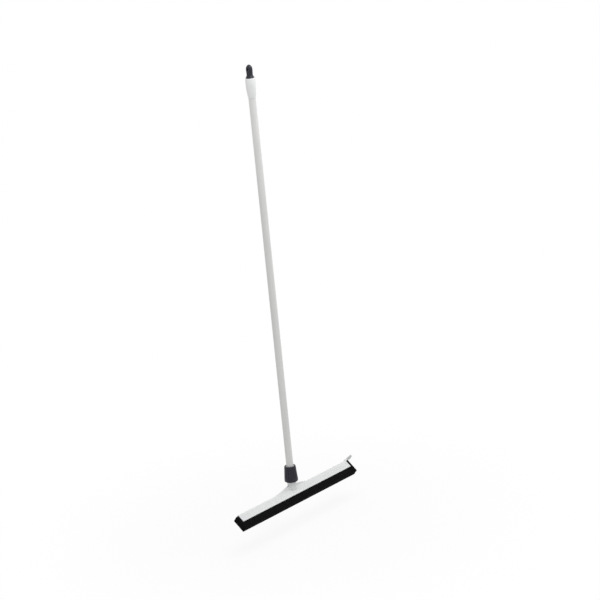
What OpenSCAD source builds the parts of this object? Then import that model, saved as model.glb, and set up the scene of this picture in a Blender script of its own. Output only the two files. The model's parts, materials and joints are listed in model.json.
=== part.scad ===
// Floor squeegee: a tube handle clamped in the slanted socket of a blade holder, and a slide-in
// cassette of two foam rubber blades.
// Millimetres. The handle stands along Z as it hangs, the blades run along X with the pull tab at +X,
// and the user's side is -Y. The origin is the centre of the hanging eye.
// Heights along the handle are counted from the knee, the point where the handle's axis meets the
// plane of the holder's face. The head has a frame of its own with its origin at the knee:
// x along the blades, y from the user's face to the back, z up the blades.

/* [Blades] */
// Length of the two foam blades
blade_l = 550; // [400:10:750]
// Height of foam below the holder's mouth
blade_reach = 23; // [16:1:32]
// Thickness of each blade below the mouth
blade_t = 9.8; // [8.5:0.1:12]
// How much thinner the holder presses each blade
blade_squeeze = 2; // [1:0.1:2.5]
// Length of blade past each end of the holder
blade_overhang = 11; // [4:0.5:16]
// Chamfer along the wiping edges
blade_chamfer = 0.8; // [0.4:0.1:1.5]

/* [Holder] */
// Height of the holder along the blade
holder_h = 28; // [24:1:36]
// Thickness of the holder's two side walls
holder_wall = 2.4; // [1.8:0.1:3]
// Thickness of the holder's roof
holder_roof = 2.4; // [1.8:0.1:3.5]
// Radius of the roof's long edges
holder_round = 4; // [2:0.5:5]
// Height of the bead along the mouth
lip_h = 4; // [3:0.5:6]
// How far the bead stands out of the wall
lip_out = 0.8; // [0.4:0.1:1.2]
// Depth of the two lines along each face
line_depth = 0.5; // [0.3:0.1:0.8]

/* [Neck and socket] */
// Angle between the handle and the upward line of the blades
handle_lean = 51; // [44:1:58]
// Distance from the holder's roof up to the knee
knee_rise = 5; // [2:0.5:8]
// Diameter of the neck below the collar
neck_d = 28; // [27:0.5:30]
// Diameter over the socket's thread
thread_d = 32; // [31:0.5:34]
// Height of the socket's top above the knee
socket_top = 50; // [46:1:54]
// Height of the socket's floor above the knee
socket_floor = 2; // [1:0.5:6]
// Distance from the middle of the head to where each wing of the gusset meets the roof
gusset_reach = 70; // [50:1:90]
// Height of the gusset's wings at the neck
gusset_rise = 12.5; // [8:0.5:13]
// Thickness of the gusset
gusset_t = 9; // [6:0.5:12]
// Radius between the wings and the neck
gusset_round = 8; // [4:0.5:9]

/* [Collar] */
// Height of the collar's lower rim above the knee
collar_foot = 18; // [16:0.5:22]
// Height of the collar
collar_h = 53; // [50:1:60]
// Diameter of the collar's lower rim
collar_d = 44.4; // [42:0.2:46]
// Diameter of the collar's top
collar_top_d = 37.6; // [34.6:0.2:39]
// Height of the plain band at the lower rim
collar_band = 12; // [8:0.5:16]
// How far the band stands out of the cone
band_out = 0.4; // [0.2:0.1:0.8]
// Number of grip grooves round the cone
groove_count = 16; // [10:1:20]
// Depth of the grooves
groove_depth = 0.8; // [0.5:0.1:1.2]
// Width of the grooves
groove_w = 2.6; // [1.8:0.1:3.4]
// Depth of the clamping ring's top below the collar's top
ring_drop = 1.4; // [0.8:0.1:3]
// Width of the slit in the clamping ring
ring_slit = 2.5; // [1.5:0.1:4]

/* [Cassette] */
// Thickness of the web between the blades
web_t = 2.4; // [2:0.1:3.2]
// Width of the bead that slides in the rail
bead_w = 6; // [5:0.2:7]
// Height of that bead
bead_h = 2; // [1.6:0.1:2.6]
// Wall of the rail under the roof
rail_wall = 1.6; // [1.2:0.1:2]
// Thickness of the stop that closes the rail's left end
stop_t = 3; // [2:0.5:6]
// Straight length of the tab past the holder's end
tab_run = 7; // [6:0.5:10]
// Radius of the tab's sweep towards the user
tab_r = 11; // [8:0.5:16]
// Length of the tab's straight tip
tab_tip = 19; // [10:0.5:24]
// Height of the tab above the holder's roof
tab_rise = 7.5; // [6:0.5:12]
// Slope of the tab's upper edge, in degrees
tab_slope = 11; // [4:1:12]
// How far the tab's tip reaches below its bend
tab_drop = 2.8; // [0:0.2:5]

/* [Handle] */
// Outer diameter of the tube
tube_d = 23; // [22:0.5:23.5]
// Wall of the tube
tube_wall = 1.2; // [0.8:0.1:1.8]
// Length of the tube
tube_l = 1357; // [900:1:1600]
// Thickness of the foot plug's flange
plug_flange = 2; // [1.5:0.5:4]
// Length of the foot plug inside the tube
plug_l = 26; // [15:1:40]
// Length of the upper sleeve
sleeve_l = 62; // [50:1:80]
// Diameter of the sleeve at its lower end
sleeve_foot_d = 24.8; // [24.6:0.1:27]
// Largest diameter of the sleeve
sleeve_d = 31.8; // [30:0.1:34]
// Diameter of the sleeve at its top
sleeve_top_d = 30; // [28:0.1:31]

/* [Hanging cap] */
// Diameter of the cap's flange
flange_d = 27.2; // [26:0.1:28]
// Height of the cap's flange
flange_h = 1.6; // [1:0.2:3]
// Diameter of the waist
waist_d = 19.4; // [18.4:0.1:20.4]
// Height of the waist above the tube's end
waist_z = 8.5; // [7:0.5:12]
// Diameter of the lobe
lobe_d = 21; // [20.6:0.1:23]
// Thickness of the lobe along the eye
lobe_t = 14; // [11:0.5:16]
// Height of the cap above the tube's end
cap_h = 42; // [39:1:50]
// Height of the dome at the cap's top
dome_h = 16; // [11:0.5:17]
// Height of the hanging eye above the tube's end
eye_rise = 27; // [24:0.5:30]
// Diameter of the hanging eye
eye_d = 8; // [6:0.5:9]
// Length of the cap's plug inside the tube
cap_plug_l = 35; // [20:1:50]

/* [Fits] */
// Gap round the cassette in the holder
slide_gap = 0.3; // [0.25:0.05:0.4]
// Radial gap between the tube and its socket and clamping ring
tube_gap = 0.1; // [0.06:0.02:0.14]
// Radial gap between the collar and the socket's thread, and round the clamping ring
thread_gap = 0.3; // [0.25:0.05:0.4]
// Gap under the foot plug and under the clamping ring
seat_gap = 0.1; // [0.05:0.05:0.3]
// Radial gap of the pieces pressed on or into the tube
press_gap = 0.05; // [0.02:0.01:0.08]

/* [Hidden] */
$fn = 96;

white = "#f1f1ee";
tube_white = "#e4e4e2";
foam_black = "#161616";
dark_grey = "#3b3b42";
ring_grey = "#b9bab8";

// The smallest overlap that joins two shapes of one piece
weld = 0.5;
// Longer than any cut
beyond = 2 * blade_l;

tube_r = tube_d / 2;
neck_r = neck_d / 2;
thread_r = thread_d / 2;

// The holder's cross-section in the head's frame
pressed_t = blade_t - blade_squeeze;
cavity_w = web_t + 2 * pressed_t + 2 * slide_gap;
holder_t = cavity_w + 2 * holder_wall;
holder_l = blade_l - 2 * blade_overhang;
mid_y = holder_t / 2;
roof_z = -knee_rise;
ceiling_z = roof_z - holder_roof;
mouth_z = roof_z - holder_h;
tip_z = mouth_z - blade_reach;

// The rail under the roof, and the bead in it
slot_w = bead_w + 2 * slide_gap;
slot_h = bead_h + 2 * slide_gap;
rail_w = slot_w + 2 * rail_wall;
rail_foot_z = ceiling_z - slot_h - rail_wall;
neck_slot_w = web_t + 2 * slide_gap;
bead_z = ceiling_z - slide_gap - bead_h;
web_foot_z = mouth_z + lip_h;
carrier_left = -holder_l / 2 + stop_t + slide_gap;
tab_left = holder_l / 2 + slide_gap;
tab_bend = holder_l / 2 + tab_run;
foam_top_z = ceiling_z - slide_gap;
tab_foot_z = foam_top_z + 2 * slide_gap;
tab_top_z = roof_z + tab_rise;

// Heights along the handle, from the knee, and the radii of what turns about its axis:
// the thread's depth, the land above the collar's bore and the taper of the clamping cone
thread_depth = 1;
bore_land = 2;
ring_taper = 1.5;
neck_root = -26;
shoulder_h = 1;
thread_foot = collar_foot + shoulder_h;
socket_lead = 4;
socket_lead_r = thread_r - thread_depth;
collar_top = collar_foot + collar_h;
collar_round = 1.6;
bore_r = thread_r + thread_gap;
bore_top = socket_top - bore_land;
ring_foot = socket_top + seat_gap;
ring_top = collar_top - ring_drop;
ring_r = socket_lead_r;
ring_top_r = ring_r - ring_taper;
plug_foot = socket_floor + seat_gap;
tube_foot = plug_foot + plug_flange;
tube_top = tube_foot + tube_l;
eye_z = tube_top + eye_rise;

// The sleeve is fullest at this share of its height, and its curve and the dome's have this many steps
sleeve_full = 0.7;
sleeve_steps = 10;
dome_steps = 12;

// The gusset stands in the plane of the handle: where that plane meets the roof, how deep the
// gusset is rooted in it, and the slope and ends of its wings
gusset_foot = roof_z / cos(handle_lean);
gusset_root = (roof_z - gusset_t / 2 * sin(handle_lean)) / cos(handle_lean) - weld;
gusset_top = gusset_foot + gusset_rise;
gusset_slope = atan(gusset_rise / (gusset_reach - neck_r));
gusset_end = neck_r + (gusset_top - gusset_root) / tan(gusset_slope);

// The collar's cone between its band and its top edge
cone_foot = collar_foot + collar_band;
cone_top = collar_top - collar_round;
cone_r = collar_d / 2 - band_out;
cone_tilt = atan((cone_r - collar_top_d / 2) / (cone_top - cone_foot));

// Puts pieces that are laid out from the knee into the part's frame
module from_knee() {
    translate([0, 0, -eye_z]) children();
}

// Turns the head's own frame so that the blades lean under the handle
module head_frame() {
    from_knee() rotate([-handle_lean, 0, 0]) children();
}

// Extrudes a y-z outline along x, between two ends
module along_x(left, right) {
    translate([left, 0, 0]) rotate([90, 0, 90]) linear_extrude(right - left) children();
}

// A rectangle between two corners
module box2(low, high) {
    translate(low) square(high - low);
}

// Outline of the holder with its roof edges rounded and its two mouth beads
module holder_outline() {
    box2([0, mouth_z], [holder_t, roof_z - holder_round]);
    box2([holder_round, roof_z - holder_round], [holder_t - holder_round, roof_z]);
    for (y = [holder_round, holder_t - holder_round])
        translate([y, roof_z - holder_round]) circle(holder_round);
    for (side = [0, 1]) translate([side * holder_t, 0]) mirror([side, 0])
        translate([0, mouth_z])
            polygon([[holder_wall, 0], [0, 0], [-lip_out, lip_out], [-lip_out, lip_h - lip_out],
                     [0, lip_h], [holder_wall, lip_h]]);
}

// Two shallow lines along each long face of the holder
module face_lines() {
    face_h = holder_h - holder_round - lip_h;
    for (share = [1 / 3, 2 / 3], y = [0, holder_t])
        translate([y, mouth_z + lip_h + share * face_h])
            rotate(45) square(sqrt(2) * line_depth, center = true);
}

// The rail under the roof that carries the cassette's bead
module rail_outline() {
    difference() {
        box2([mid_y - rail_w / 2, rail_foot_z], [mid_y + rail_w / 2, ceiling_z + weld]);
        box2([mid_y - slot_w / 2, ceiling_z - slot_h], [mid_y + slot_w / 2, ceiling_z]);
        box2([mid_y - neck_slot_w / 2, rail_foot_z - weld],
             [mid_y + neck_slot_w / 2, ceiling_z - slot_h + weld]);
    }
}

// Gusset with two straight wings that round into the neck, drawn in the plane of the handle
module gusset_outline() {
    // The round's upper end lies inside the neck over the whole thickness of the gusset
    inside_x = sqrt(neck_r * neck_r - gusset_t * gusset_t / 4) - weld;
    round_x = inside_x + gusset_round;
    wing_z = gusset_top - (round_x - neck_r) * tan(gusset_slope);
    round_z = wing_z + gusset_round / cos(gusset_slope);
    touch_x = round_x - gusset_round * sin(gusset_slope);
    touch_z = round_z - gusset_round * cos(gusset_slope);
    for (side = [0, 1]) mirror([side, 0]) {
        polygon([[0, gusset_root], [gusset_end, gusset_root], [neck_r, gusset_top], [0, gusset_top]]);
        difference() {
            polygon([[0, gusset_root], [touch_x, touch_z], [round_x, round_z], [0, round_z]]);
            translate([round_x, round_z]) circle(gusset_round);
        }
    }
}

// White moulding: blade holder, gusset, neck and threaded socket
module head_body() color(white) {
    difference() {
        union() {
            head_frame() along_x(-holder_l / 2, holder_l / 2) difference() {
                holder_outline();
                face_lines();
            }
            from_knee() rotate([90, 0, 0]) linear_extrude(gusset_t, center = true) gusset_outline();
            difference() {
                from_knee() translate([0, 0, neck_root])
                    cylinder(r = neck_r, h = thread_foot + weld - neck_root);
                head_frame() translate([-beyond / 2, holder_t, -beyond / 2]) cube(beyond);
            }
            from_knee() translate([0, 0, thread_foot]) {
                cylinder(r = thread_r, h = socket_top - socket_lead - thread_foot);
                cylinder(r = socket_lead_r, h = socket_top - thread_foot);
            }
        }
        head_frame() along_x(-beyond, beyond)
            box2([holder_wall, -beyond], [holder_t - holder_wall, ceiling_z]);
        from_knee() translate([0, 0, socket_floor]) cylinder(r = tube_r + tube_gap, h = beyond);
    }
    head_frame() {
        along_x(-holder_l / 2, holder_l / 2) rail_outline();
        along_x(-holder_l / 2, -holder_l / 2 + stop_t)
            box2([mid_y - rail_w / 2, rail_foot_z], [mid_y + rail_w / 2, ceiling_z + weld]);
    }
}

// Outline of the tab seen from above: it runs on from the web and sweeps towards the user
module tab_wall() {
    h = tab_top_z - tab_foot_z;
    translate([tab_left, mid_y - web_t / 2, bead_z]) cube([tab_bend - tab_left, web_t, tab_top_z - bead_z]);
    translate([tab_bend, mid_y - tab_r, tab_foot_z]) {
        rotate_extrude(angle = 90) translate([tab_r - web_t / 2, 0]) square([web_t, h]);
        translate([tab_r - web_t / 2, -tab_tip, -tab_drop]) cube([web_t, tab_tip, h + tab_drop]);
    }
}

// White carrier: bead and web between the blades, ending in the pull tab
module cassette_carrier() color(white) head_frame() {
    along_x(carrier_left, tab_bend) {
        box2([mid_y - bead_w / 2, bead_z], [mid_y + bead_w / 2, bead_z + bead_h]);
        box2([mid_y - web_t / 2, web_foot_z], [mid_y + web_t / 2, bead_z + weld]);
    }
    difference() {
        tab_wall();
        translate([0, mid_y, tab_top_z]) rotate([tab_slope, 0, 0])
            translate([0, -beyond / 2, 0]) cube(beyond);
        translate([tab_left, -beyond / 2, roof_z]) rotate([0, -45, 0]) cube(beyond);
    }
}

// Outline of the blade on the user's side: pressed thin in the holder, full below its mouth
module blade_outline() {
    inner_y = mid_y - web_t / 2;
    pressed_y = inner_y - pressed_t;
    free_y = inner_y - blade_t;
    rail_y = mid_y - rail_w / 2 - slide_gap;
    shelf_z = rail_foot_z - slide_gap;
    swell_z = mouth_z - slide_gap;
    polygon([[pressed_y, foam_top_z], [rail_y, foam_top_z], [rail_y, shelf_z], [inner_y, shelf_z],
             [inner_y, tip_z + blade_chamfer], [inner_y - blade_chamfer, tip_z],
             [free_y + blade_chamfer, tip_z], [free_y, tip_z + blade_chamfer],
             [free_y, swell_z - blade_squeeze], [pressed_y, swell_z]]);
}

// Black foam blade on the user's side
module front_foam_blade() color(foam_black)
    head_frame() along_x(-blade_l / 2, blade_l / 2) blade_outline();

// Black foam blade on the far side
module rear_foam_blade() color(foam_black)
    head_frame() along_x(-blade_l / 2, blade_l / 2)
        translate([holder_t, 0]) mirror([1, 0]) blade_outline();

// Split ring whose cone the collar presses onto the tube
module clamping_ring() color(ring_grey) from_knee() difference() {
    translate([0, 0, ring_foot]) cylinder(r1 = ring_r, r2 = ring_top_r, h = ring_top - ring_foot);
    cylinder(r = tube_r + tube_gap, h = beyond);
    translate([0, -ring_slit / 2, 0]) cube([beyond, ring_slit, beyond]);
}

// Half outline of the collar: a plain band below a cone, with the thread and the clamping cone inside
module collar_outline() {
    r = collar_d / 2;
    top_r = collar_top_d / 2;
    seat_r = ring_r + thread_gap;
    seat_top_r = ring_top_r + thread_gap;
    polygon([[bore_r, collar_foot], [r - collar_round, collar_foot], [r, collar_foot + collar_round],
             [r, cone_foot - band_out], [cone_r, cone_foot], [top_r, cone_top],
             [top_r - collar_round, collar_top], [seat_top_r, collar_top], [seat_top_r, ring_top],
             [seat_r, ring_foot], [seat_r, bore_top], [bore_r, bore_top]]);
}

// Flat-bottomed grooves down the collar's cone
module grip_grooves() {
    for (i = [0 : groove_count - 1]) rotate(i * 360 / groove_count)
        translate([cone_r - groove_depth, -groove_w / 2, cone_foot + groove_w])
            rotate([0, -cone_tilt, 0]) cube([collar_d, groove_w, 2 * collar_h]);
}

// Dark collar that screws onto the socket
module locking_collar() color(dark_grey) from_knee() difference() {
    rotate_extrude() collar_outline();
    grip_grooves();
}

// White-coated tube of the handle
module handle_tube() color(tube_white) from_knee() translate([0, 0, tube_foot]) difference() {
    cylinder(r = tube_r, h = tube_l);
    translate([0, 0, -weld]) cylinder(r = tube_r - tube_wall, h = tube_l + 2 * weld);
}

// Plug in the tube's lower end
module tube_foot_plug() color(ring_grey) from_knee() translate([0, 0, plug_foot]) difference() {
    union() {
        cylinder(r = tube_r, h = plug_flange);
        cylinder(r = tube_r - tube_wall - press_gap, h = plug_flange + plug_l);
    }
    translate([0, 0, 2 * plug_flange]) cylinder(r = tube_r - tube_wall - plug_flange, h = plug_l);
}

// Outer radius of the sleeve at a share of its height: it swells in a quarter wave up to its
// fullest height, then eases in to its top
function sleeve_r(share) =
    share < sleeve_full
        ? (sleeve_foot_d + (sleeve_d - sleeve_foot_d) * sin(90 * share / sleeve_full)) / 2
        : (sleeve_d - (sleeve_d - sleeve_top_d) * pow((share - sleeve_full) / (1 - sleeve_full), 2)) / 2;

// White sleeve round the tube's upper end
module upper_sleeve() color(white) from_knee() {
    inner_r = tube_r + press_gap;
    outer = [for (i = [0 : sleeve_steps]) [sleeve_r(i / sleeve_steps), i / sleeve_steps * sleeve_l]];
    translate([0, 0, tube_top - sleeve_l]) rotate_extrude()
        polygon(concat([[inner_r, 0]], outer, [[inner_r, sleeve_l]]));
}

// Half outline of the cap above the tube: flange, waist and lobe with an egg-shaped dome
module cap_outline() {
    lobe_r = lobe_d / 2;
    dome_z = cap_h - dome_h;
    dome = [for (i = [0 : dome_steps]) let (turn = 90 * i / dome_steps)
                [lobe_r * cos(turn), dome_z + dome_h * sin(turn)]];
    polygon(concat([[0, 0], [flange_d / 2, 0], [flange_d / 2, flange_h], [waist_d / 2, waist_z]], dome));
}

// Dark cap pressed into the tube's upper end, with the hanging eye through its two flats
module hanger_cap() color(dark_grey) from_knee() translate([0, 0, tube_top]) {
    difference() {
        rotate_extrude() cap_outline();
        for (side = [-1, 1])
            translate([side * (beyond + lobe_t) / 2 - beyond / 2, -beyond / 2, waist_z]) cube(beyond);
        translate([-lobe_t, 0, eye_rise]) rotate([0, 90, 0]) cylinder(d = eye_d, h = 2 * lobe_t);
    }
    translate([0, 0, -cap_plug_l]) cylinder(r = tube_r - tube_wall - press_gap, h = cap_plug_l + weld);
}

head_body();
cassette_carrier();
front_foam_blade();
rear_foam_blade();
clamping_ring();
locking_collar();
handle_tube();
tube_foot_plug();
upper_sleeve();
hanger_cap();
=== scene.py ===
"""Floor squeegee: a white moulded head with two black foam blades on a slide-in cassette, a dark
locking collar, a coated tube handle with a white upper sleeve, and a dark cap with a hanging eye.

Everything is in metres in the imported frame: the handle stands along Z, the blades run along X with
the pull tab at +X, the user's side is -Y, and the origin is the centre of the hanging eye.
"""
import json
import math

import bpy
from mathutils import Matrix, Vector


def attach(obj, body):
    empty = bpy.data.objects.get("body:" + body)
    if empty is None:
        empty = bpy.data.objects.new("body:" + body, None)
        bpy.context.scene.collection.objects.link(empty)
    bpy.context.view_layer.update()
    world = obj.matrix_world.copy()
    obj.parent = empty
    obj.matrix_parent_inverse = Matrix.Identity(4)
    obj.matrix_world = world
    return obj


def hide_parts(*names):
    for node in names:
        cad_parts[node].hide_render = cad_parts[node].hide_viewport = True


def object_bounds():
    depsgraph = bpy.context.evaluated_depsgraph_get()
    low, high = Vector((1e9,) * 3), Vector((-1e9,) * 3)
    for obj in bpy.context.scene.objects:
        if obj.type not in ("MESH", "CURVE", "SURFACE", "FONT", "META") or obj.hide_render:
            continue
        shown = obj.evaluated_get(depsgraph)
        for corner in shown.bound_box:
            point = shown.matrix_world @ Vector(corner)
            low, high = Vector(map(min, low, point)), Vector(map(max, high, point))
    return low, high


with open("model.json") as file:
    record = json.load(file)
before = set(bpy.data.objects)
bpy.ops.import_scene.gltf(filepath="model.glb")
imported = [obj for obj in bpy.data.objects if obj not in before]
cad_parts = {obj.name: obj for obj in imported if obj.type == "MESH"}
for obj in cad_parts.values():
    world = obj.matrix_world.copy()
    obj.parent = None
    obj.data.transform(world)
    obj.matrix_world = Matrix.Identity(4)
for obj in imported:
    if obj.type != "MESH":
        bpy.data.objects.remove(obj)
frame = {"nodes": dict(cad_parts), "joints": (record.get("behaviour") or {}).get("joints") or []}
cad_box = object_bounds()

MM = 0.001
FULL_TURN, QUARTER_TURN = 2 * math.pi, math.pi / 2

# Points closer together than this are made one
SAME_POINT = 0.001 * MM
# Points are picked by their place to within this
NEAR = 0.1 * MM
# Faces that meet at less than this angle are shaded as one smooth surface
SMOOTH_ANGLE = math.radians(40)

# The knee is the point where the handle's axis meets the plane of the holder's front face. Heights
# along the handle count from it, and the head has its own frame there, leaned back under the handle.
KNEE_Z, HEAD_LEAN = -1388.1 * MM, math.radians(-51)
HEAD_TO_PART = Matrix.Translation((0, 0, KNEE_Z)) @ Matrix.Rotation(HEAD_LEAN, 4, "X")

# Rounding of the edges that the mould or the cutter leaves
HEAD_EDGE, CASSETTE_EDGE, RING_EDGE = 0.25 * MM, 0.4 * MM, 0.25 * MM
COLLAR_EDGE, GROOVE_EDGE, CAP_EDGE = 0.35 * MM, 0.22 * MM, 0.5 * MM
TUBE_EDGE, SLEEVE_FOOT_EDGE, SLEEVE_TOP_EDGE = 0.3 * MM, 0.3 * MM, 0.8 * MM
BLADE_EDGE = 1.2 * MM

# Holder: the middle of its thickness, and half its length
HOLDER_MIDDLE_Y, HOLDER_END = 11.7 * MM, 264 * MM

# Foam blade on the user's side, in the head's frame
BLADE_LENGTH = 550 * MM
BLADE_OUTER_Y, BLADE_PRESSED_Y = 0.7 * MM, 2.7 * MM
BLADE_RAIL_Y, BLADE_INNER_Y = 6.5 * MM, 10.5 * MM
BLADE_TIP_Z, BLADE_SWELL_Z, BLADE_PRESSED_Z = -56 * MM, -35.3 * MM, -33.3 * MM
BLADE_SHELF_Z, BLADE_TOP_Z = -11.9 * MM, -7.7 * MM
# Past the holder's ends nothing presses the foam, which swells out again between these two distances
# from the middle. At the left end the two blades close up, short of the holder's middle.
BLADE_FREE, BLADE_FREED = HOLDER_END + 0.5 * MM, HOLDER_END + 2.5 * MM
BLADE_CLOSED_Y = HOLDER_MIDDLE_Y - 0.1 * MM
# The foam's uneven skin: faces along and up a blade, and the size and depth of its waves
SKIN_COLUMNS, SKIN_ROWS, WAVE_SIZE, WAVE_DEPTH = 110, 10, 14 * MM, 0.3 * MM

# Thread on the socket: a ridge that rises by its pitch in each turn, and stands out from the root
THREAD_ROOT, THREAD_CREST, THREAD_PITCH = 15.05 * MM, 16.0 * MM, 4 * MM
THREAD_FOOT_Z, THREAD_TOP_Z = KNEE_Z + 19 * MM, KNEE_Z + 46 * MM
THREAD_TURNS, THREAD_COLUMNS = 6, 64
# The ridge starts at this height. It is as wide at its foot as it is deep, and narrower at its crest.
RIDGE_START_Z, RIDGE_WIDTH, RIDGE_CREST_SHARE = THREAD_FOOT_Z + 1.3 * MM, 2 * MM, 0.35

# Tube and sleeve, and the number of rings of faces up each. The sleeve is fullest at a share of its length.
TUBE_FOOT_Z, TUBE_TOP_Z = KNEE_Z + 4.1 * MM, KNEE_Z + 1361.1 * MM
TUBE_RADIUS, TUBE_BORE, TUBE_COLUMNS, TUBE_RINGS = 11.5 * MM, 10.3 * MM, 96, 40
SLEEVE_LENGTH, SLEEVE_BORE, SLEEVE_RINGS = 62 * MM, 11.55 * MM, 28
SLEEVE_FOOT, SLEEVE_FULL, SLEEVE_TOP = 12.4 * MM, 15.9 * MM, 15.0 * MM
SLEEVE_FULL_SHARE = 0.7

# Collar, from the knee: a band below a cone, and inside it the thread's bore and the ring's seat
COLLAR_FOOT, COLLAR_TOP, COLLAR_CHAMFER = 18 * MM, 71 * MM, 1.6 * MM
COLLAR_RADIUS, COLLAR_TOP_RADIUS = 22.2 * MM, 18.8 * MM
CONE_FOOT, CONE_TOP, CONE_FOOT_RADIUS = 30 * MM, COLLAR_TOP - COLLAR_CHAMFER, 21.8 * MM
COLLAR_BORE, COLLAR_SEAT, COLLAR_MOUTH = 16.3 * MM, 15.3 * MM, 13.8 * MM
SEAT_SHELF_Z, SEAT_FOOT_Z, SEAT_TOP_Z = 48 * MM, 50.1 * MM, 69.6 * MM
# Grip grooves: they run from the cone's foot to half way up the top chamfer
GROOVES, GROOVE_DEPTH, GROOVE_FOOT_Z = 16, 0.8 * MM, 32.6 * MM
GROOVE_TOP_Z = COLLAR_TOP - COLLAR_CHAMFER / 2
GROOVE_TOP_RADIUS = COLLAR_TOP_RADIUS - COLLAR_CHAMFER / 2
# Columns of faces from one groove to the next, and how many of them a groove takes up
GRIP_COLUMNS, GROOVE_COLUMNS = 12, 4

# Cap, from the tube's top: a plug in the tube, a flange, a waist and a lobe with an egg-shaped dome
CAP_PLUG, CAP_PLUG_RADIUS = 35 * MM, 10.25 * MM
FLANGE_RADIUS, FLANGE_HEIGHT = 13.6 * MM, 1.6 * MM
WAIST_RADIUS, WAIST_Z, LOBE_RADIUS = 9.7 * MM, 8.5 * MM, 10.5 * MM
CAP_HEIGHT, DOME_HEIGHT = 42 * MM, 16 * MM
DOME_FOOT_Z = CAP_HEIGHT - DOME_HEIGHT
CAP_COLUMNS, LOBE_RINGS, DOME_RINGS = 128, 8, 24
# The lobe's two flats lie this far from the axis, with their borders rounded over this width
FLAT_X, FLATS_FOOT_Z, FLAT_BORDER = 7 * MM, WAIST_Z + 0.6 * MM, 1.2 * MM
# The eye goes through the flats at the origin. Its rims flare out, mostly below the flats.
EYE_RADIUS, EYE_FLARE, FLARE_SUNK_SHARE = 4 * MM, 0.8 * MM, 0.85
EYE_COLUMNS, FLARE_STEPS = 64, 6

# Studio: the strength of the light from all round where white is 1, the floor's size in metres, and
# how far the lowest blade stays above it when the head is pulled off
SURROUND_LIGHT, FLOOR_SIZE, FLOOR_CLEARANCE = 0.56, 60, 5 * MM
# From the nearer to the further distance from the object, the floor goes from mostly to wholly white
FLOOR_NEAR, FLOOR_FAR, FLOOR_NEAR_WHITE = 0.2, 1.0, 0.88
# Soft lights: place, the point that the light is turned to, width in metres and power in watts
LIGHTS = {"overhead": ((0.3, -0.8, 1.3), (0, 0, -0.9), 2.0, 32),
          "key": ((0.6, -0.4, 0.6), (0, 0, 0), 0.25, 2.3),
          "fill": ((-1.0, -0.1, 0.35), (0, 0, -0.1), 0.6, 2.2)}
# Camera: its direction from the object and its roll in degrees, the point that it looks at and its
# distance from it in metres, and the lens and sensor in millimetres
CAMERA_AZIMUTH, CAMERA_ELEVATION, CAMERA_ROLL = -46.8548, 17.3836, -5.662
CAMERA_TARGET, CAMERA_DISTANCE = Vector((0.0595, -0.062, -0.7594)), 7.64647
CAMERA_LENS, CAMERA_SENSOR = 144.15, 36


# Bench work


def start_fresh():
    """Leaves edit mode and deselects everything, so that the next operator meets one piece only."""
    if bpy.context.object and bpy.context.object.mode != "OBJECT":
        bpy.ops.object.mode_set(mode="OBJECT")
    bpy.ops.object.select_all(action="DESELECT")


def take_up(piece):
    """Makes one piece the only selected and active one, in object mode."""
    start_fresh()
    piece.select_set(True)
    bpy.context.view_layer.objects.active = piece


def open_mesh(piece):
    """Takes up one piece and enters edit mode."""
    take_up(piece)
    bpy.ops.object.mode_set(mode="EDIT")


def close_mesh():
    """Goes back from edit mode to object mode."""
    bpy.ops.object.mode_set(mode="OBJECT")


def pick_faces(piece, wanted):
    """In edit mode, selects just the faces whose centre and normal are wanted."""
    bpy.ops.mesh.select_mode(type="FACE")
    bpy.ops.mesh.select_all(action="DESELECT")
    close_mesh()
    for face in piece.data.polygons:
        face.select = wanted(face.center, face.normal)
    bpy.ops.object.mode_set(mode="EDIT")


def pick_points(piece, wanted):
    """In edit mode, selects just the vertices whose place is wanted."""
    bpy.ops.mesh.select_mode(type="VERT")
    bpy.ops.mesh.select_all(action="DESELECT")
    close_mesh()
    for point in piece.data.vertices:
        point.select = wanted(point.co)
    bpy.ops.object.mode_set(mode="EDIT")


def pick_sharp_edges(piece, angle, wanted):
    """In edit mode, selects just the edges sharper than an angle whose two ends are wanted."""
    bpy.ops.mesh.select_mode(type="EDGE")
    bpy.ops.mesh.select_all(action="DESELECT")
    bpy.ops.mesh.edges_select_sharp(sharpness=math.radians(angle))
    close_mesh()
    points = piece.data.vertices
    for edge in piece.data.edges:
        ends = (points[end].co for end in edge.vertices)
        edge.select = edge.select and wanted(*ends)
    bpy.ops.object.mode_set(mode="EDIT")


def merge_points(distance=SAME_POINT):
    """In edit mode, merges all points that lie closer together than a distance."""
    bpy.ops.mesh.select_all(action="SELECT")
    bpy.ops.mesh.remove_doubles(threshold=distance)


def face_outwards():
    """In edit mode, turns all faces outwards."""
    bpy.ops.mesh.select_all(action="SELECT")
    bpy.ops.mesh.normals_make_consistent(inside=False)


def cut_along(planes):
    """In edit mode, cuts all faces along planes, each given by a point and a normal."""
    for point, normal in planes:
        bpy.ops.mesh.select_all(action="SELECT")
        bpy.ops.mesh.bisect(plane_co=point, plane_no=normal)


def finish_with(piece, kind, **settings):
    """Adds one modifier with its settings and applies it."""
    take_up(piece)
    modifier = piece.modifiers.new(kind.title(), kind)
    for name, value in settings.items():
        setattr(modifier, name, value)
    bpy.ops.object.modifier_apply(modifier=modifier.name)


def cut_out(piece, tool):
    """Cuts a tool's shape out of a piece and puts the tool away."""
    finish_with(piece, "BOOLEAN", operation="DIFFERENCE", object=tool, solver="EXACT")
    bpy.data.objects.remove(tool)


def shade_smooth(piece):
    """Shades a piece as one smooth surface across its gentle edges."""
    take_up(piece)
    bpy.ops.object.shade_smooth_by_angle(angle=SMOOTH_ANGLE)


def shade_moulding(piece):
    """Shades a piece smooth across its gentle edges, and keeps its large faces flat between them."""
    shade_smooth(piece)
    finish_with(piece, "WEIGHTED_NORMAL", keep_sharp=True)


def move_mesh(piece, matrix):
    """Moves a piece by a matrix and writes its place into its mesh."""
    take_up(piece)
    piece.matrix_world = matrix @ piece.matrix_world
    bpy.ops.object.transform_apply(location=True, rotation=True, scale=True)


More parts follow.
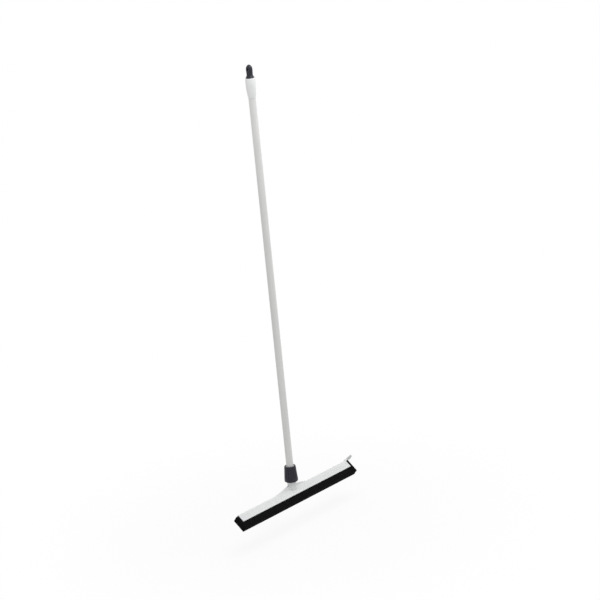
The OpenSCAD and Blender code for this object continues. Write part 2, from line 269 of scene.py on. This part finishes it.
def own_copy(name, mesh):
    """A new object in the scene with its own copy of a mesh."""
    piece = bpy.data.objects.new(name, mesh.copy())
    bpy.context.scene.collection.objects.link(piece)
    return piece


def hand_over(piece, name, body, slot, material, *nodes):
    """Names a finished piece, gives it its finish, and makes it ride on its body in place of nodes."""
    piece.name = piece.data.name = name
    piece.data.materials.clear()
    piece.data.materials.append(material)
    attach(piece, body)
    if nodes:
        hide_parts(*nodes)


def rounded_copy(node, edge):
    """Copies a node's solid, welds its triangles and rounds its sharp edges, as a mould leaves them."""
    piece = own_copy("rounded_" + node, frame["nodes"][node].data)
    sliver = 0.002 * MM
    open_mesh(piece)
    merge_points(sliver)
    face_outwards()
    bpy.ops.mesh.dissolve_limited(angle_limit=math.radians(0.02))
    close_mesh()
    finish_with(piece, "BEVEL", width=edge, segments=3, limit_method="ANGLE",
                angle_limit=math.radians(32), miter_outer="MITER_ARC")
    open_mesh(piece)
    bpy.ops.mesh.select_all(action="SELECT")
    bpy.ops.mesh.dissolve_degenerate(threshold=sliver)
    close_mesh()
    shade_moulding(piece)
    return piece


def turned_ring(outline, columns):
    """Turns a closed outline of radius and height about the handle's axis."""
    start_fresh()
    bpy.ops.mesh.primitive_plane_add(size=MM, location=(0, 0, 0))
    piece = bpy.context.object
    open_mesh(piece)
    bpy.ops.mesh.select_mode(type="VERT")
    bpy.ops.mesh.select_all(action="SELECT")
    bpy.ops.mesh.merge(type="CENTER")
    place = Vector((0, 0, 0))
    for number, (radius, height) in enumerate(outline + outline[:1]):
        step = Vector((radius, 0, height)) - place
        place += step
        if number:
            bpy.ops.mesh.extrude_region_move(TRANSFORM_OT_translate={"value": step})
        else:
            bpy.ops.transform.translate(value=step)
    merge_points()
    bpy.ops.mesh.spin(steps=columns, angle=FULL_TURN, center=(0, 0, 0), axis=(0, 0, 1))
    merge_points()
    bpy.ops.mesh.delete_loose()
    face_outwards()
    close_mesh()
    shade_smooth(piece)
    return piece


def eased(outline, ease):
    """Rounds an outline's corners, but leaves its gentle turns and its points on the axis alone. A round
    takes up at most two fifths of the sides next to it."""
    gentle, steps = math.radians(155), 3
    rounded = []
    for number, point in enumerate(outline):
        corner = Vector(point)
        before = Vector(outline[number - 1]) - corner
        after = Vector(outline[(number + 1) % len(outline)]) - corner
        if corner.x == 0 or before.angle(after) > gentle:
            rounded.append(point)
            continue
        reach = min(ease, before.length * 2 / 5, after.length * 2 / 5)
        start, end = corner + before.normalized() * reach, corner + after.normalized() * reach
        for step in range(steps + 1):
            share = step / steps
            rounded.append(tuple(start.lerp(corner, share).lerp(corner.lerp(end, share), share)))
    return rounded


# Finishes


def linear(colour):
    """An sRGB hex colour as the linear RGBA that Blender's sockets take."""
    channels = [int(colour[i:i + 2], 16) / 255 for i in (1, 3, 5)]
    return [c / 12.92 if c <= 0.04045 else ((c + 0.055) / 1.055) ** 2.4 for c in channels] + [1.0]


def per_mm(size):
    """Scale of a pattern whose features are about this many millimetres across."""
    return 1 / (size * MM)


def add(tree, kind, inputs=(), **settings):
    """Adds a shader node with its settings, and fills its sockets with values or other nodes' outputs."""
    node = tree.nodes.new("ShaderNode" + kind)
    for name, value in settings.items():
        setattr(node, name, value)
    for socket, value in dict(inputs).items():
        if isinstance(value, bpy.types.NodeSocket):
            tree.links.new(value, node.inputs[socket])
        else:
            node.inputs[socket].default_value = value
    return node


def new_finish(name):
    """An empty material, and its tree with only an output left in it."""
    material = bpy.data.materials.new(name)
    material.use_nodes = True
    tree = material.node_tree
    tree.nodes.clear()
    return material, tree, add(tree, "OutputMaterial")


def moulded_polypropylene():
    """Injection-moulded white polypropylene: satin, with a spark-eroded grain, cloudy flow marks and
    faint scuffs drawn out along the blades."""
    material, tree, output = new_finish("moulded_polypropylene")
    place = add(tree, "TexCoord").outputs["Object"]
    # Flow marks of about 45 mm make the white very slightly uneven
    flow = add(tree, "TexNoise", {"Vector": place, "Scale": per_mm(45), "Detail": 3.0})
    tone = add(tree, "ValToRGB", {"Fac": flow.outputs["Fac"]})
    tone.color_ramp.elements[0].position, tone.color_ramp.elements[1].position = 0.3, 0.7
    tone.color_ramp.elements[0].color = linear("#dfe1e2")
    tone.color_ramp.elements[1].color = linear("#e6e7e7")
    # Scuffs are 70 mm long and 1.5 mm wide, and few
    along = add(tree, "Mapping", {"Vector": place, "Scale": (per_mm(70), per_mm(1.5), per_mm(1.5))})
    streaks = add(tree, "TexNoise", {"Vector": along.outputs["Vector"], "Scale": 1.0, "Detail": 4.0})
    scuffs = add(tree, "MapRange", {"Value": streaks.outputs["Fac"], "From Min": 0.58, "From Max": 0.72,
                                    "To Min": 0.0, "To Max": 0.35})
    colour = add(tree, "Mix", {"Factor": scuffs.outputs["Result"], "A": tone.outputs["Color"],
                               "B": linear("#d0d2d2")}, data_type="RGBA")
    # The grain is 0.3 mm in a real mould; it is drawn at 0.8 mm so that it shows
    grain = add(tree, "TexNoise", {"Vector": place, "Scale": per_mm(0.8), "Detail": 3.0, "Roughness": 0.6})
    gloss = add(tree, "MapRange", {"Value": flow.outputs["Fac"], "From Min": 0.3, "From Max": 0.7,
                                   "To Min": 0.38, "To Max": 0.48})
    relief = add(tree, "Bump", {"Height": grain.outputs["Fac"], "Strength": 0.12, "Distance": 0.05 * MM})
    surface = add(tree, "BsdfPrincipled", {
        "Base Color": colour.outputs["Result"], "Roughness": gloss.outputs["Result"],
        "Normal": relief.outputs["Normal"], "IOR": 1.49})
    tree.links.new(surface.outputs["BSDF"], output.inputs["Surface"])
    return material


def coated_aluminium():
    """Powder-coated aluminium tube: a smooth half-gloss off-white with the coat's soft orange peel,
    rubbed a little duller in patches where hands slide."""
    material, tree, output = new_finish("powder_coated_aluminium")
    place = add(tree, "TexCoord").outputs["Object"]
    # Rubbed patches are about 120 mm long up the tube and 15 mm wide
    drawn = add(tree, "Mapping", {"Vector": place, "Scale": (per_mm(15), per_mm(15), per_mm(120))})
    patches = add(tree, "TexNoise", {"Vector": drawn.outputs["Vector"], "Scale": 1.0, "Detail": 4.0})
    tone = add(tree, "ValToRGB", {"Fac": patches.outputs["Fac"]})
    tone.color_ramp.elements[0].position, tone.color_ramp.elements[1].position = 0.3, 0.7
    tone.color_ramp.elements[0].color = linear("#d8d9d8")
    tone.color_ramp.elements[1].color = linear("#dfdfde")
    gloss = add(tree, "MapRange", {"Value": patches.outputs["Fac"], "From Min": 0.3, "From Max": 0.7,
                                   "To Min": 0.28, "To Max": 0.42})
    # Orange peel waves are about 2 mm across
    peel = add(tree, "TexNoise", {"Vector": place, "Scale": per_mm(2), "Detail": 2.0})
    relief = add(tree, "Bump", {"Height": peel.outputs["Fac"], "Strength": 0.2, "Distance": 0.06 * MM})
    surface = add(tree, "BsdfPrincipled", {
        "Base Color": tone.outputs["Color"], "Roughness": gloss.outputs["Result"],
        "Normal": relief.outputs["Normal"], "IOR": 1.5})
    tree.links.new(surface.outputs["BSDF"], output.inputs["Surface"])
    return material


def dark_polypropylene(mould, smoothest, roughest, grain_depth):
    """Blue-grey mass-coloured polypropylene, paler and smoother where handling has rubbed it. A grained
    mould leaves it matt, and a polished one leaves it half glossy."""
    material, tree, output = new_finish(mould + "_dark_polypropylene")
    place = add(tree, "TexCoord").outputs["Object"]
    # Rubbed clouds of about 9 mm
    clouds = add(tree, "TexNoise", {"Vector": place, "Scale": per_mm(9), "Detail": 5.0, "Roughness": 0.6})
    tone = add(tree, "ValToRGB", {"Fac": clouds.outputs["Fac"]})
    tone.color_ramp.elements[0].position, tone.color_ramp.elements[1].position = 0.35, 0.75
    tone.color_ramp.elements[0].color = linear("#24242d")
    tone.color_ramp.elements[1].color = linear("#2f303b")
    gloss = add(tree, "MapRange", {"Value": clouds.outputs["Fac"], "From Min": 0.3, "From Max": 0.7,
                                   "To Min": roughest, "To Max": smoothest})
    # The grain is drawn at 0.7 mm so that it shows
    grain = add(tree, "TexNoise", {"Vector": place, "Scale": per_mm(0.7), "Detail": 3.0})
    relief = add(tree, "Bump", {"Height": grain.outputs["Fac"], "Strength": 0.3, "Distance": grain_depth})
    # The white surround would veil a dark colour, so it shines at half of the usual level
    surface = add(tree, "BsdfPrincipled", {
        "Base Color": tone.outputs["Color"], "Roughness": gloss.outputs["Result"],
        "Normal": relief.outputs["Normal"], "IOR": 1.49, "Specular IOR Level": 0.25})
    tree.links.new(surface.outputs["BSDF"], output.inputs["Surface"])
    return material


def natural_nylon():
    """Uncoloured moulded nylon: a waxy greyish white, smoother than the polypropylene."""
    material, tree, output = new_finish("natural_nylon")
    place = add(tree, "TexCoord").outputs["Object"]
    # Waxy clouds of about 6 mm
    clouds = add(tree, "TexNoise", {"Vector": place, "Scale": per_mm(6), "Detail": 3.0})
    tone = add(tree, "ValToRGB", {"Fac": clouds.outputs["Fac"]})
    tone.color_ramp.elements[0].position, tone.color_ramp.elements[1].position = 0.3, 0.7
    tone.color_ramp.elements[0].color = linear("#bfbfba")
    tone.color_ramp.elements[1].color = linear("#cccbc6")
    relief = add(tree, "Bump", {"Height": clouds.outputs["Fac"], "Strength": 0.1, "Distance": 0.1 * MM})
    surface = add(tree, "BsdfPrincipled", {
        "Base Color": tone.outputs["Color"], "Roughness": 0.36, "Normal": relief.outputs["Normal"],
        "IOR": 1.53})
    tree.links.new(surface.outputs["BSDF"], output.inputs["Surface"])
    return material


def cellular_rubber():
    """Black closed-cell foam rubber, cut from a block: dead matt, with open pores where the cut went
    through its cells, painted darker as the shade inside them, and a dusty bloom between them."""
    material, tree, output = new_finish("cellular_rubber")
    place = add(tree, "TexCoord").outputs["Object"]
    # Cells are about 0.8 mm; they are drawn at 1.8 mm so that they show
    cells = add(tree, "TexVoronoi", {"Vector": place, "Scale": per_mm(1.8), "Randomness": 1.0})
    # The pore mask gives the pores their relief, and also paints shade into their centres
    pores = add(tree, "MapRange", {"Value": cells.outputs["Distance"], "From Min": 0.1, "From Max": 0.5,
                                   "To Min": 0.0, "To Max": 1.0})
    # The bloom lies in patches of about 20 mm
    bloom = add(tree, "TexNoise", {"Vector": place, "Scale": per_mm(20), "Detail": 5.0})
    skin = add(tree, "ValToRGB", {"Fac": bloom.outputs["Fac"]})
    skin.color_ramp.elements[0].position, skin.color_ramp.elements[1].position = 0.35, 0.7
    skin.color_ramp.elements[0].color = linear("#0d0d0d")
    skin.color_ramp.elements[1].color = linear("#141414")
    # Painted shade: the pores' centres take the darkest colour, as the shade inside the open cells
    colour = add(tree, "Mix", {"Factor": pores.outputs["Result"], "A": linear("#060606"),
                               "B": skin.outputs["Color"]}, data_type="RGBA")
    relief = add(tree, "Bump", {"Height": pores.outputs["Result"], "Strength": 0.7, "Distance": 0.5 * MM})
    surface = add(tree, "BsdfPrincipled", {
        "Base Color": colour.outputs["Result"], "Roughness": 0.92, "Specular IOR Level": 0.05,
        "Normal": relief.outputs["Normal"], "IOR": 1.52})
    tree.links.new(surface.outputs["BSDF"], output.inputs["Surface"])
    return material


WHITE_PLASTIC = moulded_polypropylene()
TUBE_COAT = coated_aluminium()
COLLAR_PLASTIC = dark_polypropylene("grained", smoothest=0.28, roughest=0.38, grain_depth=0.06 * MM)
CAP_PLASTIC = dark_polypropylene("polished", smoothest=0.2, roughest=0.28, grain_depth=0.02 * MM)
NYLON = natural_nylon()
FOAM = cellular_rubber()


# Pieces


def head_moulding():
    """Blade holder, gusset, neck and socket, with the socket turned down to the root of its thread."""
    piece = rounded_copy("head_body", HEAD_EDGE)
    half_deep = (THREAD_ROOT + THREAD_CREST) / 2
    shrink = THREAD_ROOT / THREAD_CREST
    open_mesh(piece)
    pick_points(piece, lambda p: THREAD_FOOT_Z - NEAR < p.z < THREAD_TOP_Z + NEAR
                and p.xy.length > half_deep)
    bpy.ops.transform.resize(value=(shrink, shrink, 1), center_override=(0, 0, 0))
    close_mesh()
    hand_over(piece, "head_moulding", "head", "white_polypropylene", WHITE_PLASTIC, "head_body")


def socket_thread():
    """The coarse single thread round the socket that the collar runs on."""
    start_fresh()
    bpy.ops.mesh.primitive_plane_add(size=RIDGE_WIDTH, location=(0, 0, 0))
    piece = bpy.context.object
    # The ridge's outline stands upright, and its outer side is narrowed
    move_mesh(piece, Matrix.Translation((THREAD_CREST - RIDGE_WIDTH / 2, 0, RIDGE_START_Z))
              @ Matrix.Rotation(QUARTER_TURN, 4, "X"))
    open_mesh(piece)
    pick_points(piece, lambda p: p.x > THREAD_CREST - NEAR)
    bpy.ops.transform.resize(value=(1, 1, RIDGE_CREST_SHARE), center_override=(0, 0, RIDGE_START_Z))
    bpy.ops.mesh.select_all(action="SELECT")
    bpy.ops.mesh.delete(type="ONLY_FACE")
    close_mesh()
    finish_with(piece, "SCREW", axis="Z", angle=FULL_TURN, screw_offset=THREAD_PITCH,
                iterations=THREAD_TURNS, steps=THREAD_COLUMNS, render_steps=THREAD_COLUMNS)
    open_mesh(piece)
    merge_points()
    bpy.ops.mesh.fill_holes(sides=0)
    face_outwards()
    close_mesh()
    shade_smooth(piece)
    hand_over(piece, "socket_thread", "head", "white_polypropylene", WHITE_PLASTIC)


def pressed_strip():
    """The front strip of foam in the head's frame: squeezed in at the holder's mouth, thin inside it, and
    full again past both of its ends."""
    start_fresh()
    bpy.ops.mesh.primitive_cube_add(size=1, location=(0, 0, 0))
    strip = bpy.context.object
    middle = (0, (BLADE_OUTER_Y + BLADE_CLOSED_Y) / 2, (BLADE_TIP_Z + BLADE_SWELL_Z) / 2)
    size = (BLADE_LENGTH, BLADE_CLOSED_Y - BLADE_OUTER_Y, BLADE_SWELL_Z - BLADE_TIP_Z, 1)
    move_mesh(strip, Matrix.Translation(middle) @ Matrix.Diagonal(size))

    def looks_up(centre, normal):
        """True of the strip's top."""
        return normal.z > 0.9

    def in_holder(p):
        """True of points on the outer side, above where the squeeze at the mouth starts."""
        return p.z > BLADE_SWELL_Z + NEAR and p.y < BLADE_RAIL_Y

    open_mesh(strip)
    pick_faces(strip, looks_up)
    bpy.ops.mesh.extrude_region_move(
        TRANSFORM_OT_translate={"value": (0, 0, BLADE_PRESSED_Z - BLADE_SWELL_Z)})
    pick_points(strip, in_holder)
    bpy.ops.transform.translate(value=(0, BLADE_PRESSED_Y - BLADE_OUTER_Y, 0))
    pick_faces(strip, looks_up)
    bpy.ops.mesh.extrude_region_move(
        TRANSFORM_OT_translate={"value": (0, 0, BLADE_TOP_Z - BLADE_PRESSED_Z)})
    cut_along(((x, 0, 0), (1, 0, 0)) for x in (-BLADE_FREED, -BLADE_FREE, BLADE_FREE, BLADE_FREED))
    pick_points(strip, lambda p: in_holder(p) and abs(p.x) > BLADE_FREED - NEAR)
    bpy.ops.transform.translate(value=(0, BLADE_OUTER_Y - BLADE_PRESSED_Y, 0))
    close_mesh()
    return strip


def cut_cassette_room(strip):
    """Cuts room for the web between the strips, and for the rail above it, but not at the left end."""
    for low_y, low_z in ((BLADE_INNER_Y, 2 * BLADE_TIP_Z), (BLADE_RAIL_Y, BLADE_SHELF_Z)):
        start_fresh()
        bpy.ops.mesh.primitive_cube_add(size=1, location=(0, 0, 0))
        room = bpy.context.object
        move_mesh(room, Matrix.Translation((-BLADE_FREE, low_y, low_z))
                  @ Matrix.Diagonal((BLADE_LENGTH * 2, BLADE_LENGTH, BLADE_LENGTH, 1))
                  @ Matrix.Translation((0.5, 0.5, 0.5)))
        cut_out(strip, room)


def ease_blade_edges(strip):
    """Eases the wiping edges and the ends' edges, but not the seam where the strips close up."""

    def to_ease(a, b):
        """True of an edge between two points that is a wiping edge or lies at an end."""
        low_y, high_y = min(a.y, b.y), max(a.y, b.y)
        wiping = max(a.z, b.z) < BLADE_SWELL_Z and high_y < BLADE_INNER_Y + NEAR
        at_end = min(abs(a.x), abs(b.x)) > BLADE_FREED
        return low_y < BLADE_INNER_Y + NEAR and (wiping or at_end)

    open_mesh(strip)
    pick_sharp_edges(strip, 50, to_ease)
    bpy.ops.mesh.bevel(offset=BLADE_EDGE, segments=4)
    close_mesh()


def roughen_skin(strip):
    """Lets the strip's skin wander in by up to the waves' depth, because cut foam is never quite even."""
    height = BLADE_TOP_Z - BLADE_TIP_Z
    open_mesh(strip)
    cut_along(((BLADE_LENGTH * (i / SKIN_COLUMNS - 0.5), 0, 0), (1, 0, 0)) for i in range(1, SKIN_COLUMNS))
    cut_along(((0, 0, BLADE_TIP_Z + height * i / SKIN_ROWS), (0, 0, 1)) for i in range(1, SKIN_ROWS))
    close_mesh()
    waves = bpy.data.textures.new("foam_waves", "CLOUDS")
    waves.noise_scale, waves.noise_depth = WAVE_SIZE, 2
    finish_with(strip, "DISPLACE", texture=waves, texture_coords="LOCAL", mid_level=1.0,
                strength=WAVE_DEPTH)


def foam_blades():
    """Two strips of foam, pressed thin inside the holder and swelling out below its mouth and past its
    ends. Past the left end nothing parts them, and they close up against each other."""
    front = pressed_strip()
    cut_cassette_room(front)
    ease_blade_edges(front)
    roughen_skin(front)
    rear = own_copy("rear", front.data)
    move_mesh(rear, Matrix.Translation((0, 2 * HOLDER_MIDDLE_Y, 0)) @ Matrix.Diagonal((1, -1, 1, 1)))
    for blade, node in ((front, "front_foam_blade"), (rear, "rear_foam_blade")):
        move_mesh(blade, HEAD_TO_PART)
        open_mesh(blade)
        merge_points()
        face_outwards()
        close_mesh()
        shade_smooth(blade)
        hand_over(blade, node.replace("_foam", ""), "cassette", "cellular_rubber", FOAM, node)


def cassette_moulding():
    """Web and bead between the blades, ending in the pull tab."""
    piece = rounded_copy("cassette_carrier", CASSETTE_EDGE)
    hand_over(piece, "cassette_moulding", "cassette", "white_polypropylene", WHITE_PLASTIC,
              "cassette_carrier")


def collar_outline():
    """Half of the collar's section, round from the foot of its bore, without its grip grooves."""
    band_step = COLLAR_RADIUS - CONE_FOOT_RADIUS
    groove_foot_radius = CONE_FOOT_RADIUS + (COLLAR_TOP_RADIUS - CONE_FOOT_RADIUS) * (
        GROOVE_FOOT_Z - CONE_FOOT) / (CONE_TOP - CONE_FOOT)
    band = [(COLLAR_BORE, COLLAR_FOOT), (COLLAR_RADIUS - COLLAR_CHAMFER, COLLAR_FOOT),
            (COLLAR_RADIUS, COLLAR_FOOT + COLLAR_CHAMFER), (COLLAR_RADIUS, CONE_FOOT - band_step)]
    cone = [(CONE_FOOT_RADIUS, CONE_FOOT), (groove_foot_radius, GROOVE_FOOT_Z),
            (COLLAR_TOP_RADIUS, CONE_TOP), (GROOVE_TOP_RADIUS, GROOVE_TOP_Z),
            (COLLAR_TOP_RADIUS - COLLAR_CHAMFER, COLLAR_TOP)]
    inside = [(COLLAR_MOUTH, COLLAR_TOP), (COLLAR_MOUTH, SEAT_TOP_Z), (COLLAR_SEAT, SEAT_FOOT_Z),
              (COLLAR_SEAT, SEAT_SHELF_Z), (COLLAR_BORE, SEAT_SHELF_Z)]
    return band + cone + inside


def sink_grooves(piece):
    """Sinks the grip grooves into the collar's cone, and lets them run out at their top."""
    period = FULL_TURN / GROOVES
    half_groove = period * GROOVE_COLUMNS / GRIP_COLUMNS / 2
    sink = 1 - GROOVE_DEPTH / COLLAR_TOP_RADIUS

    def in_groove(centre, normal):
        """True of the faces outside on the cone that a groove takes up."""
        off = math.atan2(centre.y, centre.x) % period
        return (min(off, period - off) < half_groove and normal.xy.dot(centre.xy) > 0
                and GROOVE_FOOT_Z < centre.z < GROOVE_TOP_Z and centre.xy.length > COLLAR_BORE)

    open_mesh(piece)
    pick_faces(piece, in_groove)
    bpy.ops.mesh.extrude_region_move()
    bpy.ops.transform.resize(value=(sink, sink, 1), center_override=(0, 0, 0))
    pick_points(piece, lambda p: abs(p.z - GROOVE_TOP_Z) < NEAR
                and abs(p.xy.length - GROOVE_TOP_RADIUS * sink) < NEAR)
    bpy.ops.transform.resize(value=(1 / sink, 1 / sink, 1), center_override=(0, 0, 0))
    merge_points(0.005 * MM)
    face_outwards()
    close_mesh()


def collar_moulding():
    """Dark locking collar: turned all round, then grooved for the grip."""
    piece = turned_ring(eased(collar_outline(), COLLAR_EDGE), GROOVES * GRIP_COLUMNS)
    sink_grooves(piece)
    finish_with(piece, "BEVEL", width=GROOVE_EDGE, segments=2, limit_method="ANGLE",
                angle_limit=math.radians(50))
    shade_moulding(piece)
    move_mesh(piece, Matrix.Translation((0, 0, KNEE_Z)))
    hand_over(piece, "collar_moulding", "collar", "dark_polypropylene", COLLAR_PLASTIC, "locking_collar")


def ring_moulding():
    """Split ring that the collar presses onto the tube."""
    piece = rounded_copy("clamping_ring", RING_EDGE)
    hand_over(piece, "ring_moulding", "clamp_ring", "natural_nylon", NYLON, "clamping_ring")


def cap_outline():
    """Half of the cap's section, from the foot of its plug up to the top of its dome."""
    outline = [(0, -CAP_PLUG), (CAP_PLUG_RADIUS, -CAP_PLUG), (CAP_PLUG_RADIUS, 0), (FLANGE_RADIUS, 0),
               (FLANGE_RADIUS, FLANGE_HEIGHT), (WAIST_RADIUS, WAIST_Z)]
    for i in range(LOBE_RINGS):
        z = FLATS_FOOT_Z + (DOME_FOOT_Z - FLATS_FOOT_Z) * i / LOBE_RINGS
        swell = (LOBE_RADIUS - WAIST_RADIUS) * (z - WAIST_Z) / (DOME_FOOT_Z - WAIST_Z)
        outline.append((WAIST_RADIUS + swell, z))
    for i in range(DOME_RINGS):
        turn = QUARTER_TURN * i / DOME_RINGS
        outline.append((LOBE_RADIUS * math.cos(turn), DOME_FOOT_Z + DOME_HEIGHT * math.sin(turn)))
    return outline + [(0, CAP_HEIGHT)]


def press_flats(piece):
    """Presses two sides of the cap's lobe flat, and rounds the flats' borders but not their feet."""
    open_mesh(piece)
    for side in (-1, 1):
        pick_points(piece, lambda p: p.x * side > FLAT_X and p.z > FLATS_FOOT_Z - NEAR)
        bpy.ops.transform.resize(value=(0, 1, 1), center_override=(side * FLAT_X, 0, 0))
    pick_points(piece, lambda p: abs(p.x) > FLAT_X - FLAT_BORDER and p.z > FLATS_FOOT_Z + NEAR)
    bpy.ops.mesh.vertices_smooth(factor=0.5, repeat=4)
    close_mesh()


def eye_drill():
    """The shape that the hanging eye takes out of the cap, along X. Its flare goes on a little outside
    the flats, so that it crosses them at an angle."""
    flare_foot = FLAT_X - FLARE_SUNK_SHARE * EYE_FLARE
    rim = []
    for i in range(FLARE_STEPS + 1):
        turn = QUARTER_TURN * i / FLARE_STEPS
        rim.append((EYE_RADIUS + EYE_FLARE * (1 - math.cos(turn)), flare_foot + EYE_FLARE * math.sin(turn)))
    rim.append((EYE_RADIUS + EYE_FLARE, 2 * FLAT_X))
    other_rim = [(radius, -x) for radius, x in reversed(rim)]
    drill = turned_ring([(0, -2 * FLAT_X)] + other_rim + rim + [(0, 2 * FLAT_X)], EYE_COLUMNS)
    move_mesh(drill, Matrix.Rotation(QUARTER_TURN, 4, "Y"))
    return drill


def cap_moulding():
    """Dark cap: turned all round, its lobe pressed to two flats, and the hanging eye let through them
    with flared rims."""
    piece = turned_ring(eased(cap_outline(), CAP_EDGE), CAP_COLUMNS)
    press_flats(piece)
    move_mesh(piece, Matrix.Translation((0, 0, TUBE_TOP_Z)))
    cut_out(piece, eye_drill())
    sliver = 0.01 * MM
    open_mesh(piece)
    merge_points(sliver)
    bpy.ops.mesh.dissolve_degenerate(threshold=sliver)
    close_mesh()
    shade_moulding(piece)
    hand_over(piece, "cap_moulding", "handle", "dark_polypropylene", CAP_PLASTIC, "hanger_cap")


def coated_tube():
    """Tube of the handle, its two cut ends eased."""
    low, high, ease = TUBE_FOOT_Z, TUBE_TOP_Z, TUBE_EDGE
    rings = [low + ease + (high - low - 2 * ease) * i / TUBE_RINGS for i in range(TUBE_RINGS + 1)]
    outline = [(TUBE_BORE, low + ease), (TUBE_BORE + ease, low), (TUBE_RADIUS - ease, low)]
    outline += [(TUBE_RADIUS, z) for z in rings]
    outline += [(TUBE_RADIUS - ease, high), (TUBE_BORE + ease, high), (TUBE_BORE, high - ease)]
    piece = turned_ring(outline, TUBE_COLUMNS)
    hand_over(piece, "coated_tube", "handle", "coated_aluminium", TUBE_COAT, "handle_tube")


def sleeve_moulding():
    """White sleeve round the tube's upper end: it swells in a quarter wave, then eases in to its top."""
    foot_z, ease = TUBE_TOP_Z - SLEEVE_LENGTH, SLEEVE_TOP_EDGE
    outline = [(SLEEVE_BORE, foot_z), (SLEEVE_FOOT - SLEEVE_FOOT_EDGE, foot_z)]
    side = SLEEVE_LENGTH - SLEEVE_FOOT_EDGE - ease
    for i in range(SLEEVE_RINGS + 1):
        share = (SLEEVE_FOOT_EDGE + side * i / SLEEVE_RINGS) / SLEEVE_LENGTH
        if share < SLEEVE_FULL_SHARE:
            wave = math.sin(QUARTER_TURN * share / SLEEVE_FULL_SHARE)
            radius = SLEEVE_FOOT + (SLEEVE_FULL - SLEEVE_FOOT) * wave
        else:
            past = (share - SLEEVE_FULL_SHARE) / (1 - SLEEVE_FULL_SHARE)
            radius = SLEEVE_FULL - (SLEEVE_FULL - SLEEVE_TOP) * past ** 2
        outline.append((radius, foot_z + share * SLEEVE_LENGTH))
    for degrees in (30, 60, 90):
        turn = math.radians(degrees)
        outline.append((SLEEVE_TOP - ease + ease * math.cos(turn),
                        TUBE_TOP_Z - ease + ease * math.sin(turn)))
    outline.append((SLEEVE_BORE, TUBE_TOP_Z))
    piece = turned_ring(outline, TUBE_COLUMNS)
    hand_over(piece, "sleeve_moulding", "handle", "white_polypropylene", WHITE_PLASTIC, "upper_sleeve")


head_moulding()
socket_thread()
foam_blades()
cassette_moulding()
collar_moulding()
ring_moulding()
cap_moulding()
coated_tube()
sleeve_moulding()
foot_plug = frame["nodes"]["tube_foot_plug"]
foot_plug.data.materials.clear()
foot_plug.data.materials.append(NYLON)


# Studio


def seen_directly(tree):
    """1 for rays from the camera, from mirrors and through glass, 0 for rays that only carry light."""
    path = add(tree, "LightPath").outputs
    mirrored = add(tree, "Math", {0: path["Is Camera Ray"], 1: path["Is Glossy Ray"]}, operation="MAXIMUM")
    return add(tree, "Math", {0: mirrored.outputs[0], 1: path["Is Transmission Ray"]},
               operation="MAXIMUM").outputs[0]


def white_surround():
    """White where it is seen, and an even soft light where it only lights."""
    world = bpy.data.worlds.new("white_surround")
    bpy.context.scene.world = world
    world.use_nodes = True
    tree = world.node_tree
    tree.nodes.clear()
    light = add(tree, "Background", {"Color": linear("#ffffff"), "Strength": SURROUND_LIGHT})
    seen = add(tree, "Background", {"Color": linear("#ffffff"), "Strength": 1.0})
    both = add(tree, "MixShader", {0: seen_directly(tree), 1: light.outputs[0], 2: seen.outputs[0]})
    output = add(tree, "OutputWorld")
    tree.links.new(both.outputs[0], output.inputs["Surface"])


def pale_floor():
    """Plain pale floor below the hanging squeegee, with room above it for the head to be pulled off.
    Near the object it keeps part of its shadow, and further out it is plain white where it is seen."""
    travel = next(joint["range_m"][1] for joint in frame["joints"] if joint["name"] == "head_pull_off")
    start_fresh()
    bpy.ops.mesh.primitive_plane_add(size=FLOOR_SIZE,
                                     location=(0, 0, cad_box[0][2] - travel - FLOOR_CLEARANCE))
    floor = bpy.context.object
    floor.name = floor.data.name = "pale_floor"
    material, tree, output = new_finish("pale_floor")
    place = add(tree, "TexCoord").outputs["Object"]
    distance = add(tree, "VectorMath", {0: place}, operation="LENGTH")
    whiteness = add(tree, "MapRange", {
        "Value": distance.outputs["Value"], "From Min": FLOOR_NEAR, "From Max": FLOOR_FAR,
        "To Min": FLOOR_NEAR_WHITE, "To Max": 1.0}, interpolation_type="SMOOTHSTEP")
    share = add(tree, "Math", {0: whiteness.outputs["Result"], 1: seen_directly(tree)}, operation="MULTIPLY")
    matt = add(tree, "BsdfDiffuse", {"Color": linear("#f0f0ee")})
    white = add(tree, "Emission", {"Color": linear("#ffffff"), "Strength": 1.0})
    both = add(tree, "MixShader", {0: share.outputs[0], 1: matt.outputs[0], 2: white.outputs[0]})
    tree.links.new(both.outputs[0], output.inputs["Surface"])
    floor.data.materials.append(material)


def soft_light(name, place, aim, size, power):
    """A square studio light of that size, turned towards a point."""
    lamp = bpy.data.lights.new(name, "AREA")
    lamp.shape, lamp.size, lamp.energy = "SQUARE", size, power
    light = bpy.data.objects.new(name, lamp)
    light.location = place
    light.rotation_euler = (Vector(aim) - Vector(place)).to_track_quat("-Z", "Y").to_euler()
    bpy.context.scene.collection.objects.link(light)


def photo_camera():
    """Camera at the photograph's viewing angle: from the user's left and above, the handle leaning a
    little in the picture."""
    azimuth, elevation = math.radians(CAMERA_AZIMUTH), math.radians(CAMERA_ELEVATION)
    roll = math.radians(CAMERA_ROLL)
    back = Vector((math.sin(azimuth) * math.cos(elevation), -math.cos(azimuth) * math.cos(elevation),
                   math.sin(elevation)))
    level = Vector((math.cos(azimuth), math.sin(azimuth), 0))
    upright = back.cross(level)
    right = math.cos(roll) * level + math.sin(roll) * upright
    up = math.cos(roll) * upright - math.sin(roll) * level
    lens = bpy.data.cameras.new("photo_camera")
    lens.sensor_width, lens.lens, lens.clip_end = CAMERA_SENSOR, CAMERA_LENS, 100
    camera = bpy.data.objects.new("photo_camera", lens)
    camera.matrix_world = (Matrix.Translation(CAMERA_TARGET + CAMERA_DISTANCE * back)
                           @ Matrix((right, up, back)).transposed().to_4x4())
    bpy.context.scene.collection.objects.link(camera)
    bpy.context.scene.camera = camera


white_surround()
pale_floor()
for name, light in LIGHTS.items():
    soft_light(name, *light)
photo_camera()
bpy.context.scene.view_settings.view_transform = "Standard"
